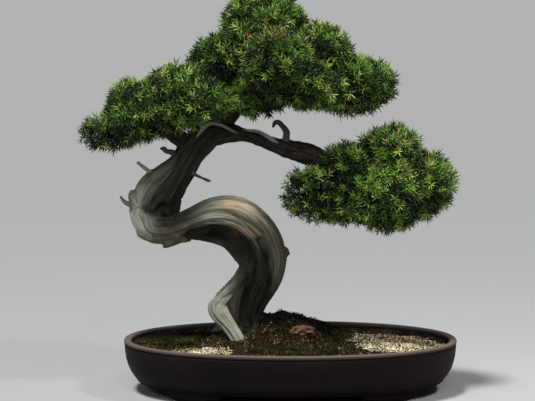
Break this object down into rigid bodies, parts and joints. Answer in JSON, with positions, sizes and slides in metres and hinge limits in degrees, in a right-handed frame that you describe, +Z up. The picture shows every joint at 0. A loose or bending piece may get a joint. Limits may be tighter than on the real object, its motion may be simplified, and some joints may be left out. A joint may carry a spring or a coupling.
{
  "type": "bonsai tree in a pot",
  "caption": "Juniper bonsai with an S-bent, partly bleached trunk, clipped needle foliage pads and a long right branch, planted in a shallow oval clay pot on feet.",
  "frame": {"origin": "on the surface that the pot's feet stand on, at the middle of the whole object's box in X and Y", "axes": "+Z up along the tree; -Y is the tree's front, the side it is meant to be seen from; +X is the viewer's right, towards the long branch"},
  "size_m": [0.6316, 0.4108, 0.6533],
  "materials": {
    "clay": "unglazed matt clay with a worn lip",
    "plastic": "moulded mesh",
    "wire": "annealed wire",
    "pumice": "coarse gravel",
    "soil": "granular planting mix",
    "grit": "loose tan grit",
    "moss": "short moss",
    "bark": "flaking bark",
    "live_wood": "weathered, fluted",
    "dead_wood": "bleached",
    "needles": "needle foliage"
  },
  "bodies": {
    "root": {"pot": "clay", "drainage_screen_left": "plastic", "drainage_screen_right": "plastic", "screen_clip_left": "wire", "screen_clip_right": "wire", "anchor_wire": "wire", "drainage_layer": "pumice", "soil": "soil", "grit_right": "grit", "grit_front_left": "grit", "moss_left": "moss", "moss_back_left": "moss", "moss_front": "moss", "moss_right": "moss", "moss_mound": "moss", "root_lump": "bark", "bark_flake": "bark", "trunk": "live_wood", "right_branch": "live_wood", "left_branch": "live_wood", "crown_branch_left": "live_wood", "crown_branch_right": "live_wood", "crown_branch_front": "live_wood", "crown_branch_back": "live_wood", "jin_elbow": "dead_wood", "jin_upper_left": "dead_wood", "jin_left": "dead_wood", "jin_right": "dead_wood", "jin_hook": "dead_wood", "foliage_left_tip": "needles", "foliage_left_outer": "needles", "foliage_left_outer_back": "needles", "foliage_left_inner": "needles", "foliage_left_inner_back": "needles", "foliage_left_front": "needles", "foliage_crown_apex": "needles", "foliage_crown_left": "needles", "foliage_crown_low_left": "needles", "foliage_crown_front": "needles", "foliage_crown_back": "needles", "foliage_crown_upper_right": "needles", "foliage_crown_right": "needles", "foliage_crown_low_right": "needles", "foliage_crown_back_right": "needles", "foliage_right_top": "needles", "foliage_right_outer": "needles", "foliage_right_front": "needles", "foliage_right_back": "needles", "foliage_right_middle": "needles", "foliage_right_low": "needles", "foliage_right_upper": "needles"}
  },
  "joints": []
}
